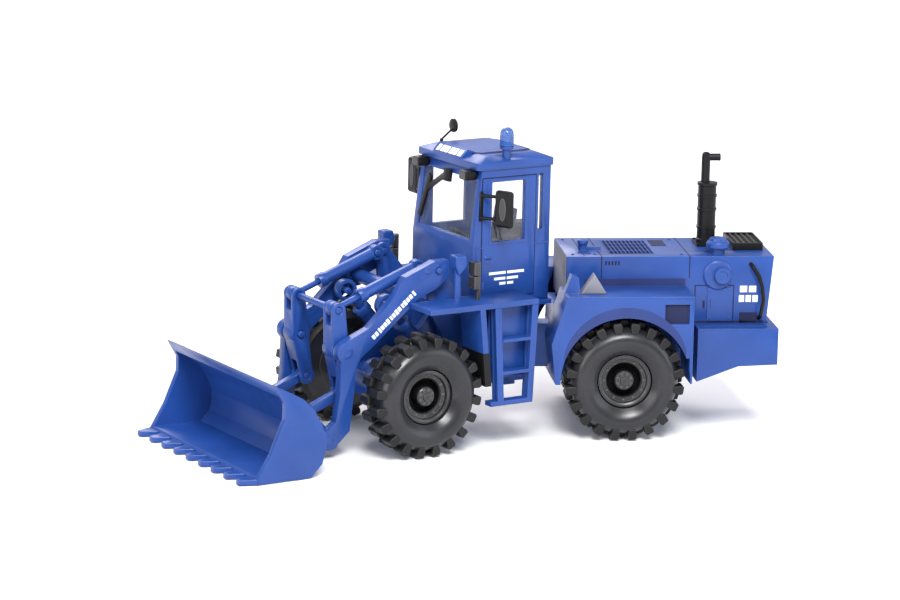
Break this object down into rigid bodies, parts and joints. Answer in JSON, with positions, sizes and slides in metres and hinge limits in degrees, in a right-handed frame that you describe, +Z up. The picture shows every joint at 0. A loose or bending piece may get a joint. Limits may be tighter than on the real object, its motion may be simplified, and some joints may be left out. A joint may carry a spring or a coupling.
{
  "type": "toy front loader",
  "caption": "Small plastic articulated wheel loader with cab, bucket, Z-bar tilt linkage, lift cylinders and a steering joint between its two sections.",
  "frame": {"origin": "on the ground, under the middle of the whole model's box in the stored pose", "axes": "+X points forwards along the front section, towards the bucket teeth; +Y to the loader's left; +Z up; the rear section is stored turned 25.4 degrees about the steering axis"},
  "size_m": [0.0828, 0.0378, 0.0403],
  "materials": {
    "blue_plastic": "moulded plastic with a soft sheen",
    "grey_plastic": "moulded grey plastic",
    "black_plastic": "moulded black plastic",
    "tyre_black": "moulded dark tyre plastic",
    "clear_plastic": "clear moulded plastic",
    "beacon_blue": "clear blue plastic"
  },
  "bodies": {
    "front_section": {"front_frame": "blue_plastic", "front_axle_housing": "blue_plastic", "frame_pins": "blue_plastic", "steering_pin": "blue_plastic", "cab_shell": "blue_plastic", "cab_door": "blue_plastic", "cab_windows": "clear_plastic", "cab_roof": "blue_plastic", "beacon": "beacon_blue", "roof_mirror": "black_plastic", "mirror_left": "black_plastic", "mirror_right": "black_plastic", "work_lights": "black_plastic", "wiper": "black_plastic", "driver_seat": "grey_plastic", "steering_console": "black_plastic", "front_fender_left": "blue_plastic", "front_fender_right": "blue_plastic", "ladder_left": "blue_plastic", "ladder_right": "blue_plastic", "side_tanks": "blue_plastic", "headlamps": "black_plastic"},
    "rear_section": {"rear_frame": "blue_plastic", "rear_axle_housing": "blue_plastic", "hood": "blue_plastic", "hood_grille": "blue_plastic", "radiator_mesh": "black_plastic", "exhaust_stack": "black_plastic", "pre_cleaner": "blue_plastic", "filter_cap": "blue_plastic", "rear_fender_left": "blue_plastic", "rear_fender_right": "blue_plastic", "wheel_chock": "grey_plastic", "rear_handrails": "black_plastic", "counterweight": "blue_plastic"},
    "front_wheels": {"front_axle": "black_plastic", "tyre_front_left": "tyre_black", "tyre_front_right": "tyre_black"},
    "rear_wheels": {"rear_axle": "black_plastic", "tyre_rear_left": "tyre_black", "tyre_rear_right": "tyre_black"},
    "boom": {"boom_arm_left": "blue_plastic", "boom_arm_right": "blue_plastic", "boom_cross_tube": "blue_plastic", "boom_pins": "blue_plastic"},
    "bucket": {"bucket": "blue_plastic", "bucket_teeth": "blue_plastic", "bucket_pins": "blue_plastic"},
    "bell_cranks": {"bell_crank_left": "blue_plastic", "bell_crank_right": "blue_plastic", "crank_shafts": "blue_plastic"},
    "tilt_links": {"tilt_links": "blue_plastic"},
    "tilt_barrels": {"tilt_barrels": "blue_plastic"},
    "tilt_rods": {"tilt_rods": "blue_plastic"},
    "lift_barrels": {"lift_barrels": "blue_plastic"},
    "lift_rods": {"lift_rods": "blue_plastic"}
  },
  "joints": [
    {"name": "steering", "type": "hinge", "parent": "front_section", "child": "rear_section", "pos_m": [-0.00718, -0.00424, 0.01], "axis": [0, 0, 1], "range_deg": [-5.4, 56.2]},
    {"name": "front_wheels_spin", "type": "hinge", "parent": "front_section", "child": "front_wheels", "pos_m": [0.01392, -0.00424, 0.00778], "axis": [0, 1, 0], "continuous": true},
    {"name": "rear_wheels_spin", "type": "hinge", "parent": "rear_section", "child": "rear_wheels", "pos_m": [-0.01865, 0.00121, 0.00778], "axis": [0.4289, 0.9033, 0], "continuous": true},
    {"name": "boom_lift", "type": "hinge", "parent": "front_section", "child": "boom", "pos_m": [0.00972, -0.00424, 0.0228], "axis": [0, -1, 0], "range_deg": [0, 55]},
    {"name": "bucket_tilt", "type": "hinge", "parent": "boom", "child": "bucket", "pos_m": [0.02532, -0.00424, 0.0024], "axis": [0, -1, 0], "range_deg": [-15, 30]},
    {"name": "bell_crank_turn", "type": "hinge", "parent": "boom", "child": "bell_cranks", "pos_m": [0.02302, -0.00424, 0.0135], "axis": [0, -1, 0], "range_deg": [-19.2, 9.6]},
    {"name": "tilt_link_turn", "type": "hinge", "parent": "bell_cranks", "child": "tilt_links", "pos_m": [0.02202, -0.00424, 0.0079], "axis": [0, -1, 0], "range_deg": [-11.7, 23.3]},
    {"name": "tilt_barrel_turn", "type": "hinge", "parent": "boom", "child": "tilt_barrels", "pos_m": [0.01142, -0.00424, 0.023], "axis": [0, -1, 0], "range_deg": [-0.8, 1.6]},
    {"name": "tilt_rod_slide", "type": "slide", "parent": "tilt_barrels", "child": "tilt_rods", "axis": [0.9379, 0, -0.3468], "range_m": [-0.0009, 0.0017]},
    {"name": "lift_barrel_turn", "type": "hinge", "parent": "front_section", "child": "lift_barrels", "pos_m": [0.00712, -0.00424, 0.009], "axis": [0, -1, 0], "range_deg": [0, 11.2]},
    {"name": "lift_rod_slide", "type": "slide", "parent": "lift_barrels", "child": "lift_rods", "axis": [0.6793, 0, 0.7339], "range_m": [0, 0.0065]}
  ],
  "couplings": [
    {"joint": "bell_crank_turn", "follows": "bucket_tilt", "ratio": -0.6351},
    {"joint": "tilt_link_turn", "follows": "bucket_tilt", "ratio": 0.7724},
    {"joint": "tilt_barrel_turn", "follows": "bucket_tilt", "ratio": 0.0498},
    {"joint": "tilt_rod_slide", "follows": "bucket_tilt", "m_per_rad": 0.0031277},
    {"joint": "lift_barrel_turn", "follows": "boom_lift", "ratio": 0.2016},
    {"joint": "lift_rod_slide", "follows": "boom_lift", "m_per_rad": 0.0066383}
  ]
}
